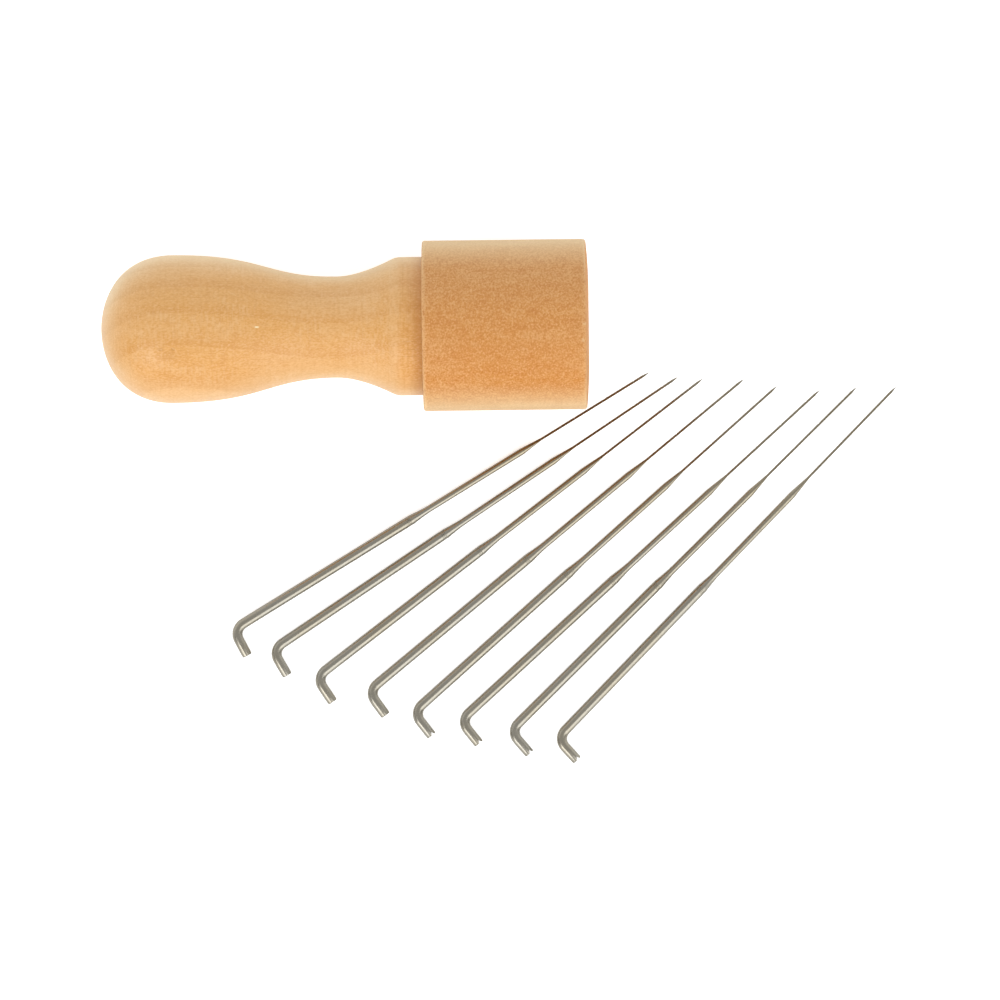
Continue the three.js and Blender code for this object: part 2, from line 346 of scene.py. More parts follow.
def corner_points(start, corner, end, steps):
    """Points that round off one corner of an outline, without its first point."""
    def toward(point):
        return tuple(a + (b - a) * 2 / 3 for a, b in zip(point, corner))
    return curve_points(start, toward(start), toward(end), end, steps)


def straight_points(start, end, steps):
    return [tuple(a + (b - a) * i / steps for a, b in zip(start, end)) for i in range(1, steps + 1)]


# Thread: one V-shaped cutter wound along the axis

STEPS_A_TURN = 48
HALF_CREST = 0.15
PAST_CREST = 0.15
CAP_THREAD_DEPTH = 0.8


def thread_start(handle_sizes):
    return handle_sizes.mouth_at + handle_sizes.collar_entry + handle_sizes.relief_width


def thread_cutter(start, end, apex_radius, mouth_radius, pitch):
    """A helix of triangular section whose apex cuts to apex_radius."""
    half = pitch / 2 - HALF_CREST
    cutter = add_object(bpy.ops.mesh.primitive_circle_add, "thread_cutter", vertices=3, fill_type="NOTHING")
    corners = [(start - half, mouth_radius), (start + half, mouth_radius), (start, apex_radius)]
    for vertex, (along, radius) in zip(cutter.data.vertices, corners):
        vertex.co = (along, 0, radius)
    turns = (end - start) / pitch
    screw = cutter.modifiers.new("wind", "SCREW")
    screw.axis = "X"
    screw.angle = math.tau * turns
    screw.screw_offset = end - start
    screw.steps = math.ceil(turns * STEPS_A_TURN)
    screw.render_steps = screw.steps
    apply_modifiers(cutter)
    enter_edit(cutter, "DESELECT")
    bpy.ops.mesh.select_non_manifold(extend=False)
    bpy.ops.mesh.edge_face_add()
    leave_edit()
    return faced_outwards(cutter)


# Handle

def handle_outline(sizes):
    bulb_peak = (sizes.bulb_peak_at, sizes.bulb_radius)
    waist = (sizes.waist_at, sizes.waist_radius)
    collar = sizes.collar_radius
    collar_end = sizes.mouth_at + sizes.collar_entry
    relief = sizes.relief_radius
    relief_end = thread_start(sizes)
    thread = sizes.thread_radius
    chamfer = sizes.spigot_chamfer
    end = sizes.spigot_end
    # Handles of the outline's curves: how full the nose, the bulb and the waist are on either side
    nose = (0, 5.8)
    bulb_rear = (bulb_peak[0] - 9.6, bulb_peak[1])
    bulb_front = (bulb_peak[0] + 16.3, bulb_peak[1])
    waist_rear = (waist[0] - 12.5, waist[1])
    waist_front = (waist[0] + 4.3, waist[1])
    # The shoulder's edge is softened over this length, and the flare meets it with this slope
    softness = 0.75
    slope = 0.46
    edge = (sizes.shoulder_at, collar)
    edge_end = (edge[0] + softness, collar)
    flare_end = (edge[0] - softness, collar - softness * slope)
    flare_handle = (flare_end[0] - softness, flare_end[1] - softness * slope)
    collar_round = 0.3
    corner_start = (collar_end - collar_round, collar)
    corner_end = (collar_end, collar - collar_round)
    outline = [(0, 0)]
    outline += curve_points((0, 0), nose, bulb_rear, bulb_peak, 40)
    outline += curve_points(bulb_peak, bulb_front, waist_rear, waist, 36)
    outline += curve_points(waist, waist_front, flare_handle, flare_end, 16)
    outline += corner_points(flare_end, edge, edge_end, 5)
    outline += straight_points(edge_end, corner_start, 6)
    outline += corner_points(corner_start, (collar_end, collar), corner_end, 3)
    outline += [(collar_end, relief), (relief_end, relief)]
    outline += [(relief_end + thread - relief, thread), (end - chamfer, thread), (end, thread - chamfer)]
    outline += straight_points((end, thread - chamfer), (end, 0), 3)
    return outline


def handle_thread(sizes):
    crest = sizes.thread_radius
    pitch = sizes.thread_pitch
    return thread_cutter(thread_start(sizes), sizes.spigot_end + pitch, crest - sizes.thread_depth,
                         crest + PAST_CREST, pitch)


class FELTING_OT_handle(bpy.types.Operator):
    """Turn the handle with its bulb, waist, shoulder, collar and threaded spigot"""
    bl_idname = "felting.handle"
    bl_label = "Handle"

    def execute(self, context):
        sizes = in_millimetres(context.scene.felting_handle)
        handle = turn_on_lathe("turned_handle", handle_outline(sizes))
        cut_with(handle, handle_thread(sizes))
        put_in_place(handle, holder_place())
        handle.data.materials.append(wood_material("handle", HANDLE_LOOK, context.scene.felting_finishes))
        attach(handle, "handle")
        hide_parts("handle")
        return {"FINISHED"}


# Cap

def cap_outline(sizes, mouth_at):
    radius = sizes.radius
    rear = sizes.rear_rim_round
    front = sizes.front_rim_round
    end = sizes.length
    depth = end - sizes.floor
    bore = sizes.bore_radius - CAP_THREAD_DEPTH
    mouth = sizes.mouth_radius
    lead_in = 0.8
    mouth_chamfer = 0.35
    rim_at = end - sizes.crown_drop
    wall_end = (rim_at - front, radius)
    crown_edge = (rim_at, radius - front)
    crown_start = (end, sizes.crown_start)
    crown_control = (end, (sizes.crown_start + radius) / 2)
    outline = [(depth, 0), (depth, bore), (sizes.counterbore + lead_in, bore)]
    outline += [(sizes.counterbore, bore + lead_in), (sizes.counterbore, mouth)]
    outline += [(mouth_chamfer, mouth), (0, mouth + mouth_chamfer)]
    outline += straight_points((0, mouth + mouth_chamfer), (0, radius - rear), 2)
    outline += corner_points((0, radius - rear), (0, radius), (rear, radius), 5)
    outline += straight_points((rear, radius), wall_end, 10)
    outline += corner_points(wall_end, (rim_at, radius), crown_edge, 5)
    outline += corner_points(crown_edge, crown_control, crown_start, 10)
    outline += straight_points(crown_start, (end, 0), 4)
    return [(mouth_at + along, radius_at) for along, radius_at in outline]


def cap_thread(sizes, handle_sizes):
    pitch = handle_sizes.thread_pitch
    start = thread_start(handle_sizes) - pitch * 1.5
    end = handle_sizes.mouth_at + sizes.length - sizes.floor - pitch / 2
    root = sizes.bore_radius
    return thread_cutter(start, end, root, root - CAP_THREAD_DEPTH - PAST_CREST, pitch)


def hole_cutter(sizes, mouth_at):
    """The middle hole and the ring of holes, each flared inside for the crank and eased at the face."""
    floor_at = mouth_at + sizes.length - sizes.floor
    face_at = floor_at + sizes.floor
    past = 1
    flare = 0.6
    flare_depth = 0.9
    chamfer = 0.15
    chamfer_depth = 0.12
    chamfer_past = chamfer - chamfer_depth
    bore = sizes.hole_radius
    outline = [(floor_at - past, 0), (floor_at - past, bore + flare), (floor_at, bore + flare)]
    outline += [(floor_at + flare_depth, bore), (face_at - chamfer_depth, bore)]
    outline += [(face_at + chamfer_past, bore + chamfer), (face_at + past, bore + chamfer)]
    outline += [(face_at + past, 0)]
    cutter = turn_on_lathe("hole_cutter", outline, steps=32)
    cutters = [cutter]
    for i in range(sizes.ring_holes):
        turn = math.tau * i / sizes.ring_holes
        twin = copy_of(cutter, "hole_cutter")
        twin.location = (0, sizes.hole_ring_radius * math.sin(turn), sizes.hole_ring_radius * math.cos(turn))
        cutters.append(twin)
    bpy.context.view_layer.update()
    return join_pieces(cutters)


class FELTING_OT_cap(bpy.types.Operator):
    """Turn the needle cap, cut its thread and bore its needle holes"""
    bl_idname = "felting.cap"
    bl_label = "Needle cap"

    def execute(self, context):
        sizes = in_millimetres(context.scene.felting_cap)
        handle_sizes = in_millimetres(context.scene.felting_handle)
        mouth_at = handle_sizes.mouth_at
        cap = turn_on_lathe("turned_cap", cap_outline(sizes, mouth_at))
        cut_with(cap, cap_thread(sizes, handle_sizes))
        cut_with(cap, hole_cutter(sizes, mouth_at))
        put_in_place(cap, holder_place())
        cap.data.materials.append(wood_material("cap", CAP_LOOK, context.scene.felting_finishes))
        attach(cap, "needle_cap")
        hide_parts("needle_cap")
        return {"FINISHED"}


# Needles

WIRE_SIDES = 24
STATION = "station"


def wire_on(distance, factor=1.0, heading=Vector((1, 0, 0))):
    """Draws the wire on by one stretch and resizes its new end."""
    extrude_by(heading * distance)
    if factor != 1.0:
        bpy.ops.transform.resize(value=(factor, factor, factor))


def taper_by(distance, now, radii):
    """Draws the wire on in equal stretches whose ends take these radii in turn."""
    for radius in radii:
        wire_on(distance / len(radii), radius / now)
        now = radius


def draw_crank(sizes):
    """Starts the wire at its cut end, draws the crank and bends it; returns where the shank begins."""
    radius = sizes.shank_radius
    heading = math.pi - sizes.crank_angle
    inward = Vector((math.cos(heading), math.sin(heading), 0))
    tangent = sizes.bend_radius * math.tan(heading / 2)
    worn_edge = 0.14
    face_radius = radius - worn_edge
    edge_radius = radius - worn_edge * 0.3
    wire = add_object(bpy.ops.mesh.primitive_circle_add, "needle_wire", vertices=WIRE_SIDES,
                      radius=face_radius, fill_type="NGON", location=inward * -sizes.crank_reach,
                      rotation=Vector((0, 0, 1)).rotation_difference(inward).to_euler())
    bpy.ops.object.transform_apply()
    enter_edit(wire)
    wire_on(worn_edge * 0.4, edge_radius / face_radius, inward)
    wire_on(worn_edge * 0.6, radius / edge_radius, inward)
    wire_on(sizes.crank_reach - tangent - worn_edge, 1.0, inward)
    bpy.ops.mesh.spin(steps=12, angle=heading, center=(tangent, -sizes.bend_radius, 0), axis=(0, 0, 1))
    return wire, tangent


def draw_gauge_marks(sizes, along):
    """Draws the shank on to its end, with three fine grooves shortly before it."""
    first_mark = sizes.shank_end - 0.9
    spacing = 0.3
    wall = 0.05
    floor = 0.06
    groove = 1 - 0.045 / sizes.shank_radius
    for mark in range(3):
        start = first_mark + mark * spacing
        wire_on(start - along)
        wire_on(wall, groove)
        wire_on(floor)
        wire_on(wall, 1 / groove)
        along = start + wall + floor + wall
    wire_on(sizes.shank_end - along)


def draw_step(sizes):
    """Swages the shank down to the step, crisply at first and softly at the end, and draws the step."""
    steps = 6
    narrowing = sizes.step_radius - sizes.shank_radius
    radii = [sizes.shank_radius + narrowing * (1 - (1 - i / steps) ** 1.5) for i in range(1, steps + 1)]
    taper_by(sizes.step_start - sizes.shank_end, sizes.shank_radius, radii)
    wire_on(sizes.step_end - sizes.step_start)


def needle_wire(sizes):
    """Crank, bend, shank and step, drawn as one wire from the cut end."""
    wire, shank_start = draw_crank(sizes)
    draw_gauge_marks(sizes, shank_start)
    draw_step(sizes)
    leave_edit()
    return wire


def needle_blade(sizes):
    """Triangular blade with softened edges, one of them facing away from the crank, and its point."""
    proud = 0.025
    softening = 0.065
    blade = add_object(bpy.ops.mesh.primitive_circle_add, "needle_blade", vertices=3,
                       radius=sizes.blade_height * 2 / 3 + proud, fill_type="NGON",
                       location=(sizes.blade_start, 0, 0), rotation=(0, math.pi / 2, 0))
    enter_edit(blade)
    bpy.ops.mesh.bevel(offset=softening, segments=WIRE_SIDES // 3 - 1, affect="VERTICES")
    leave_edit()
    bpy.ops.object.transform_apply()
    enter_edit(blade)
    even_steps = 12
    point_steps = 8
    tip = 0.14
    point = [max((1 - i / point_steps) ** 0.7, tip) for i in range(1, point_steps + 1)]
    taper_by(sizes.reach - sizes.point_length - sizes.blade_start, 1.0, [1.0] * even_steps)
    taper_by(sizes.point_length, 1.0, point)
    leave_edit()
    return blade


def edit_chosen(piece, kind, parts, is_chosen):
    """Opens the piece in edit mode with the chosen ones of its vertices or faces selected."""
    enter_edit(piece, "DESELECT")
    bpy.ops.mesh.select_mode(type=kind)
    leave_edit()
    for part in parts:
        part.select = is_chosen(part)
    bpy.ops.object.mode_set(mode="EDIT")


def bridge_to_blade(wire, sizes):
    """Opens the ends of step and blade that face each other, and draws the round one out to the other."""
    on_end = [min(abs(vertex.co.x - sizes.step_end), abs(vertex.co.x - sizes.blade_start)) < SAME_PLACE
              for vertex in wire.data.vertices]
    edit_chosen(wire, "FACE", wire.data.polygons, lambda face: all(on_end[i] for i in face.vertices))
    bpy.ops.mesh.delete(type="ONLY_FACE")
    leave_edit()
    edit_chosen(wire, "VERT", wire.data.vertices, lambda vertex: on_end[vertex.index])
    bpy.ops.mesh.select_mode(type="EDGE")
    bpy.ops.mesh.bridge_edge_loops(type="SINGLE", number_cuts=8, interpolation="LINEAR")
    leave_edit()
    return faced_outwards(wire)


def prism(corners, width, place):
    """A three-sided cutter with these (along, across) corners, put in place by a matrix."""
    cutter = add_object(bpy.ops.mesh.primitive_cylinder_add, "wire_cutter", vertices=3, depth=width)
    for vertex in cutter.data.vertices:
        corner = round(math.atan2(vertex.co.y, vertex.co.x) / (math.tau / 3)) % 3
        vertex.co = place @ Vector((*corners[corner], vertex.co.z))
    return cutter


def barb_cutter(sizes):
    """All the barbs of one blade, edge after edge: each has its steep wall facing the point."""
    edge = sizes.blade_height * 2 / 3
    depth = 0.075
    ramp = 0.55
    width = 0.5
    cutters = []
    for i in range(sizes.barbs):
        wall = sizes.reach - sizes.first_barb - i * sizes.barb_pitch
        corners = ((wall, edge + depth), (wall - depth / 2, edge - depth), (wall + ramp, edge + depth / 2))
        turn = Matrix.Rotation(math.tau / 3 * (i % 3), 4, "X")
        cutters.append(prism(corners, width, turn))
    return faced_outwards(join_pieces(cutters))


def cut_mark_cutter(sizes, upright):
    """The V that the shear leaves across the end of the crank."""
    depth = 0.6
    mouth = -0.9
    half_width = 0.75
    length_across = 4
    off_axis = -0.3
    corners = ((depth, 0), (mouth, half_width), (mouth, -half_width))
    heading = Matrix.Rotation(math.pi - sizes.crank_angle, 4, "Z")
    cut_end = Matrix.Translation((-sizes.crank_reach, off_axis, 0))
    turn = Matrix.Rotation(0 if upright else math.pi / 2, 4, "X")
    return faced_outwards(prism(corners, length_across, heading @ cut_end @ turn))


def store_stations(piece):
    """Keeps how far along the wire each corner lies, so that the finish can follow the wire."""
    stations = piece.data.attributes.new(STATION, "FLOAT", "POINT")
    values = [vertex.co.x + min(vertex.co.y, 0) for vertex in piece.data.vertices]
    stations.data.foreach_set("value", values)


def model_needle(sizes):
    wire = needle_wire(sizes)
    blade = needle_blade(sizes)
    needle = bridge_to_blade(join_pieces([wire, blade]), sizes)
    return cut_with(needle, barb_cutter(sizes))


class FELTING_OT_needles(bpy.types.Operator):
    """Draw one felting needle and lay its copies out where the frame has them"""
    bl_idname = "felting.needles"
    bl_label = "Felting needles"

    def execute(self, context):
        sizes = in_millimetres(context.scene.felting_needle)
        steel = steel_material(context.scene.felting_finishes)
        plain = model_needle(sizes)
        patterns = {}
        for upright in (False, True):
            pattern = copy_of(plain, "needle_pattern")
            cut_with(pattern, cut_mark_cutter(sizes, upright))
            store_stations(pattern)
            patterns[upright] = pattern
        for number, heading in enumerate(NEEDLE_HEADINGS, start=1):
            node = f"needle_{number}"
            needle = copy_of(patterns[node in UPRIGHT_CUTS], f"felting_needle_{number}")
            put_in_place(needle, needle_place(node, heading, sizes.reach))
            needle.data.materials.append(steel)
            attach(needle, node)
            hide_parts(node)
        for pattern in (plain, *patterns.values()):
            bpy.data.objects.remove(pattern)
        return {"FINISHED"}


# Material helpers

def feed(tree, node, inputs):
    """Gives each named input of a node its value, or links the socket that feeds it."""
    for name, value in inputs.items():
        socket = node.inputs[name]
        if isinstance(value, bpy.types.NodeSocket):
            tree.links.new(value, socket)
        else:
            socket.default_value = value


def new_node(tree, kind, inputs=None, **settings):
    node = tree.nodes.new(f"ShaderNode{kind}")
    for name, value in settings.items():
        setattr(node, name, value)
    feed(tree, node, inputs or {})
    return node


def maths(tree, operation, first, second=0.0):
    return new_node(tree, "Math", {0: first, 1: second}, operation=operation).outputs[0]


def product(tree, first, second):
    return maths(tree, "MULTIPLY", first, second)


def total(tree, first, *others):
    for other in others:
        first = maths(tree, "ADD", first, other)
    return first


def vector_maths(tree, operation, first, second=None, output="Vector"):
    inputs = {0: first}
    if second is not None:
        inputs["Scale" if operation == "SCALE" else 1] = second
    return new_node(tree, "VectorMath", inputs, operation=operation).outputs[output]


def ranged(tree, value, low, high, to_low=0.0, to_high=1.0, smooth=True):
    inputs = {"Value": value, "From Min": low, "From Max": high, "To Min": to_low, "To Max": to_high}
    steps = "SMOOTHSTEP" if smooth else "LINEAR"
    return new_node(tree, "MapRange", inputs, interpolation_type=steps).outputs["Result"]


def band(tree, value, start, full, fade, end):
    """1 between full and fade, falling to 0 at start and at end."""
    return product(tree, ranged(tree, value, start, full), ranged(tree, value, fade, end, 1.0, 0.0))


def mixed(tree, factor, *colours):
    """Mixes two colours; sockets 0, 6, 7 and 2 are the factor, the two colours and the result."""
    inputs = {0: factor}
    for index, tint in zip((6, 7), colours):
        inputs[index] = tint if isinstance(tint, bpy.types.NodeSocket) else (*tint, 1)
    return new_node(tree, "Mix", inputs, data_type="RGBA").outputs[2]


def laid_over(tree, tint, layers):
    """Lays colours over a tint one after the other, each as strongly as its mask says."""
    for layer, mask in layers:
        tint = mixed(tree, mask, tint, layer)
    return tint


def stretched(tree, vector, scale):
    return new_node(tree, "Mapping", {"Vector": vector, "Scale": scale}).outputs["Vector"]


def noise(tree, vector, scale=1.0, detail=2.0, roughness=0.5, output="Fac"):
    inputs = {"Vector": vector, "Scale": scale, "Detail": detail, "Roughness": roughness}
    return new_node(tree, "TexNoise", inputs).outputs[output]


def bumped(tree, height, strength, millimetres):
    inputs = {"Height": height, "Strength": strength, "Distance": millimetres * MM}
    return new_node(tree, "Bump", inputs).outputs["Normal"]


def object_place(tree):
    return new_node(tree, "TexCoord").outputs["Object"]


def new_material(name):
    material = bpy.data.materials.new(name)
    material.use_nodes = True
    tree = material.node_tree
    tree.nodes.clear()
    output = new_node(tree, "OutputMaterial")
    shader = new_node(tree, "BsdfPrincipled")
    tree.links.new(shader.outputs["BSDF"], output.inputs["Surface"])
    return material, tree, shader


# Effects that the woods share, each a shader node group

def effect(tree, name, draw, inputs):
    """Places an effect in a material with its own values. Its group is drawn once, on first use."""
    if name not in bpy.data.node_groups:
        group = bpy.data.node_groups.new(name, "ShaderNodeTree")
        for label, value in inputs.items():
            kind = "NodeSocketFloat" if isinstance(value, float) else "NodeSocketVector"
            group.interface.new_socket(label, in_out="INPUT", socket_type=kind)
        drawn = draw(group, group.nodes.new("NodeGroupInput").outputs)
        for label in drawn:
            group.interface.new_socket(label, in_out="OUTPUT", socket_type="NodeSocketFloat")
        feed(group, group.nodes.new("NodeGroupOutput"), drawn)
    return new_node(tree, "Group", inputs, node_tree=bpy.data.node_groups[name]).outputs


def draw_growth_rings(tree, given):
    """Growth rings round an off-centre pith, with the grain along X: 0 in early wood, 1 in late wood."""
    slow = stretched(tree, given["Vector"], (0.022, 0.09, 0.09))
    wander = noise(tree, slow, detail=1.5, output="Color")
    swing = vector_maths(tree, "SUBTRACT", wander, (0.5, 0.5, 0.5))
    swing = vector_maths(tree, "SCALE", swing, given["Waviness"])
    moved = vector_maths(tree, "ADD", given["Vector"], swing)
    from_pith = vector_maths(tree, "SUBTRACT", moved, given["Pith"])
    across_grain = vector_maths(tree, "MULTIPLY", from_pith, (0, 1, 1))
    radius = vector_maths(tree, "LENGTH", across_grain, output="Value")
    year = maths(tree, "FRACT", maths(tree, "DIVIDE", radius, given["Spacing"]))
    return {"Rings": product(tree, ranged(tree, year, 0.45, 0.93), ranged(tree, year, 0.955, 1.0, 1.0, 0.0))}


def draw_fibres(tree, given):
    """Long fibres along X, a fine speckle of cut pores, mottling, and short pale rays in patches."""
    place = given["Vector"]
    width = given["Speckle width"]
    cell = new_node(tree, "CombineXYZ", {"X": given["Speckle length"], "Y": width, "Z": width})
    fine = vector_maths(tree, "DIVIDE", place, cell.outputs[0])
    strokes = noise(tree, stretched(tree, place, (2.3, 0.5, 0.5)), detail=1.5)
    patches = noise(tree, stretched(tree, place, (0.09, 0.2, 0.2)), detail=1.0)
    return {
        "Fibres": noise(tree, stretched(tree, place, (0.2, 4.6, 4.6)), detail=3.0, roughness=0.6),
        "Speckle": noise(tree, fine, detail=1.0, roughness=0.6),
        "Mottle": noise(tree, stretched(tree, place, (0.3, 0.75, 0.75)), detail=3.0, roughness=0.65),
        "Rays": product(tree, ranged(tree, strokes, 0.46, 0.66), ranged(tree, patches, 0.46, 0.6)),
    }


def draw_turning_marks(tree, given):
    """Fine rings that the lathe tool and the sandpaper leave round the X axis."""
    parts = new_node(tree, "SeparateXYZ", {"Vector": given["Vector"]}).outputs
    drawn_out = {"X": maths(tree, "DIVIDE", parts["X"], given["Pitch"]),
                 "Y": product(tree, parts["Y"], 0.06), "Z": product(tree, parts["Z"], 0.06)}
    rings = new_node(tree, "CombineXYZ", drawn_out).outputs[0]
    return {"Marks": noise(tree, rings, roughness=0.6)}


# Woods: places and widths are in millimetres, along and across the holder from its bulb end.
# The shift puts a piece elsewhere in its tree, where the pith is. Bands are (start, full, fade, end,
# strength), and spots are (centre, size, strength).

HANDLE_LOOK = SimpleNamespace(
    shift=(0, 0, 0), pith=(0, 27, -4), ring_spacing=4.95, waviness=1.0, ring_strength=0.34,
    fibre_strength=0.24, mottle=0.2, rays=0.35,
    speckle_length=0.52, speckle_width=0.28, shade=0.018, stain=0.5, mark_pitch=0.3, mark_strength=0.22,
    lined=(52.2, 53.4, 57.9, 58.2), end_grain=0.0, roughness=(0.34, 0.42), specular=0.4,
    # Strengths of the painted sheen: at grazing angles, on the upper side, and on that side's grazing edge
    painted_sheen_and_fleck=0.15, upper_painted_sheen=0.11, upper_edge_painted_sheen=0.19,
    # Painted shade on the collar where it runs into the cap's mouth
    painted_shade_bands=((55.5, 56.6, 57.9, 58.2, 0.45),),
    # Painted highlight, with some paler wood, along the shoulder's edge
    painted_highlight_bands=((51.6, 52.3, 53.2, 54.6, 0.25),),
    pale_spots=(((28.3, 0.0, 11.3), (0.55, 0.2, 1.5), 0.9),),
    dark_spots=(((11.1, -3.8, 12.2), (0.8, 0.5, 2), 0.55), ((13.3, -3.8, 12.7), (0.6, 0.4, 2), 0.6),
                ((12.4, -5.0, 12.0), (2.4, 1.4, 3), 0.3), ((55.6, -2.9, 12.1), (2.3, 0.16, 2), 0.4),
                ((56.0, -4.35, 11.7), (2.0, 0.16, 2), 0.35), ((55.4, -5.6, 11.1), (2.4, 0.16, 2), 0.35)),
)
CAP_LOOK = SimpleNamespace(
    shift=(140, 31, 57), pith=(0, 1, 35), ring_spacing=3.4, waviness=5.0, ring_strength=0.12,
    fibre_strength=0.1, mottle=0.34, rays=0.2,
    speckle_length=0.33, speckle_width=0.36, shade=0.045, stain=0.85, mark_pitch=0.5, mark_strength=0.05,
    lined=None, end_grain=1.0, roughness=(0.55, 0.62), specular=0.25,
    # Strengths of the painted sheen: at grazing angles, on the upper side, and on that side's grazing edge
    painted_sheen_and_fleck=0.355, upper_painted_sheen=0.1, upper_edge_painted_sheen=0.0,
    painted_shade_bands=(),
    # Painted highlights round the rim of the mouth and the rim of the needle face
    painted_highlight_bands=((57.0, 57.8, 58.1, 58.7, 0.95), (86.3, 86.9, 87.6, 88.6, 0.5)),
    pale_spots=(((86.9, -0.2, 15.3), (0.5, 0.35, 1.5), 0.2), ((86.6, -3.1, 15.0), (0.4, 0.5, 1.5), 0.2)),
    dark_spots=(),
)
BRUISE_SHADE = 0.85


def holder_coordinates(tree):
    """Millimetres along and across the holder's axis, from the bulb end."""
    inputs = {"Vector": object_place(tree), "Location": holder_place().translation,
              "Rotation": holder_rotation(), "Scale": (MM, MM, MM)}
    return new_node(tree, "Mapping", inputs, vector_type="TEXTURE").outputs["Vector"]


def facing_axis(tree):
    """1 where the surface faces along the holder, so on its end grain."""
    normal = new_node(tree, "NewGeometry").outputs["Normal"]
    along = vector_maths(tree, "DOT_PRODUCT", normal, tuple(HOLDER_AXIS), output="Value")
    return maths(tree, "ABSOLUTE", along)


def wood_surface(tree, look):
    """All that varies over one wood: where a point lies, its grain and its tool marks."""
    place = holder_coordinates(tree)
    along, across = new_node(tree, "SeparateXYZ", {"Vector": place}).outputs[:2]
    shifted = vector_maths(tree, "ADD", place, look.shift)
    rings = effect(tree, "Growth rings", draw_growth_rings,
                   {"Vector": shifted, "Spacing": look.ring_spacing, "Waviness": look.waviness,
                    "Pith": look.pith})
    fibres = effect(tree, "Wood fibres", draw_fibres,
                    {"Vector": shifted, "Speckle length": look.speckle_length,
                     "Speckle width": look.speckle_width})
    turning = effect(tree, "Turning marks", draw_turning_marks, {"Vector": place, "Pitch": look.mark_pitch})
    return SimpleNamespace(
        place=place, along=along, across=across, rings=rings["Rings"], turning=turning["Marks"],
        fibres=fibres["Fibres"], speckle=fibres["Speckle"], mottle=fibres["Mottle"], rays=fibres["Rays"],
        clouds=noise(tree, stretched(tree, shifted, (0.05, 0.11, 0.11))),
        end_grain=ranged(tree, facing_axis(tree), 0.6, 1.0, 0.0, look.end_grain))


def band_layers(tree, wood, tint, bands):
    """Bands of one tint round the holder, here painted shade and painted highlights."""
    return [(tint, product(tree, band(tree, wood.along, *edges), strength)) for *edges, strength in bands]


def spot_layers(tree, wood, tint, spots):
    """Small marks of one tint, each strongest at its centre and gone at its edge."""
    layers = []
    for centre, size, strength in spots:
        away = vector_maths(tree, "SUBTRACT", wood.place, centre)
        away = vector_maths(tree, "DIVIDE", away, size)
        distance = vector_maths(tree, "LENGTH", away, output="Value")
        layers.append((tint, product(tree, ranged(tree, distance, 1.0, 0.3), strength)))
    return layers


def painted_sheen_mask(tree, look, wood):
    """How strongly a pale sheen is painted into the colour: most where the surface is seen at a grazing
    angle, more on the upper side and its edge, least on end grain.
    """
    facing = new_node(tree, "LayerWeight", {"Blend": 0.5}).outputs["Facing"]
    grazing = ranged(tree, facing, 0.25, 0.68, 0.0, look.painted_sheen_and_fleck, smooth=False)
    upper = ranged(tree, wood.across, -10.0, 10.0, 0.0, look.upper_painted_sheen, smooth=False)
    edge = product(tree, ranged(tree, facing, 0.4, 0.8, 0.0, look.upper_edge_painted_sheen, smooth=False),
                   ranged(tree, wood.across, 0.0, 6.0))
    return product(tree, total(tree, grazing, upper, edge), maths(tree, "SUBTRACT", 1.0, wood.end_grain))


def wood_colour(tree, look, wood, main, late, pale, painted_sheen_and_fleck):
    """The grain's layers, then the lathe's and the user's marks with bands of painted shade and painted
    highlight, then pores and a painted sheen.
    """
    bruise = tuple(part * BRUISE_SHADE for part in late)
    marks = ranged(tree, wood.turning, 0.5, 0.68, 0.0, look.mark_strength)
    if look.lined:
        marks = product(tree, marks, total(tree, 1.0, band(tree, wood.along, *look.lined)))
    tint = laid_over(tree, main, [
        (pale, ranged(tree, wood.clouds, 0.35, 0.7, 0.0, 0.45)),
        (late, ranged(tree, wood.mottle, 0.5, 0.7, 0.0, look.mottle * 1.3)),
        (pale, ranged(tree, wood.mottle, 0.5, 0.3, 0.0, look.mottle)),
        (late, product(tree, wood.rings, look.ring_strength)),
        (late, ranged(tree, wood.fibres, 0.45, 0.7, 0.0, look.fibre_strength)),
        (pale, product(tree, wood.rays, look.rays)),
        # Painted shade next to the cap's mouth
        *band_layers(tree, wood, late, look.painted_shade_bands),
        (late, marks),
        (late, product(tree, wood.end_grain, 0.4)),
        # Painted highlights on the shoulder's edge and the cap's rims
        *band_layers(tree, wood, pale, look.painted_highlight_bands),
        *spot_layers(tree, wood, bruise, look.dark_spots),
        (late, ranged(tree, wood.speckle, 0.5, 0.25, 0.0, look.stain, smooth=False)),
        (pale, ranged(tree, wood.speckle, 0.5, 0.75, 0.0, look.stain, smooth=False)),
    ])
    shade = ranged(tree, wood.speckle, 0.25, 0.75, 1 - look.shade, 1 + look.shade, smooth=False)
    tint = vector_maths(tree, "SCALE", tint, shade)
    return laid_over(tree, tint, [
        *spot_layers(tree, wood, painted_sheen_and_fleck, look.pale_spots),
        # Pale sheen painted in where the surface is seen at a grazing angle and towards the upper side
        (painted_sheen_and_fleck, painted_sheen_mask(tree, look, wood)),
    ])


def wood_material(piece, look, finishes):
    """Pale fine-grained hardwood, sanded and left bare, in the colours that the finishes give the piece."""
    material, tree, shader = new_material(f"{piece}_maple")
    main, late, pale = (getattr(finishes, f"{piece}_{part}") for part in ("wood", "late", "pale"))
    wood = wood_surface(tree, look)
    rough = ranged(tree, wood.fibres, 0.3, 0.7, *look.roughness, smooth=False)
    relief = product(tree, total(tree, wood.fibres, wood.turning, wood.speckle), 0.5)
    feed(tree, shader, {
        "Base Color": wood_colour(tree, look, wood, main, late, pale, finishes.painted_sheen_and_fleck),
        "Roughness": total(tree, rough, product(tree, wood.end_grain, 0.25)),
        "Specular IOR Level": look.specular,
        "Sheen Weight": 0.1,
        "Sheen Roughness": 0.35,
        "Sheen Tint": (1.0, 0.92, 0.78, 1.0),
        "Normal": bumped(tree, relief, 0.25, 0.05),
    })
    return material


# Steel and paper

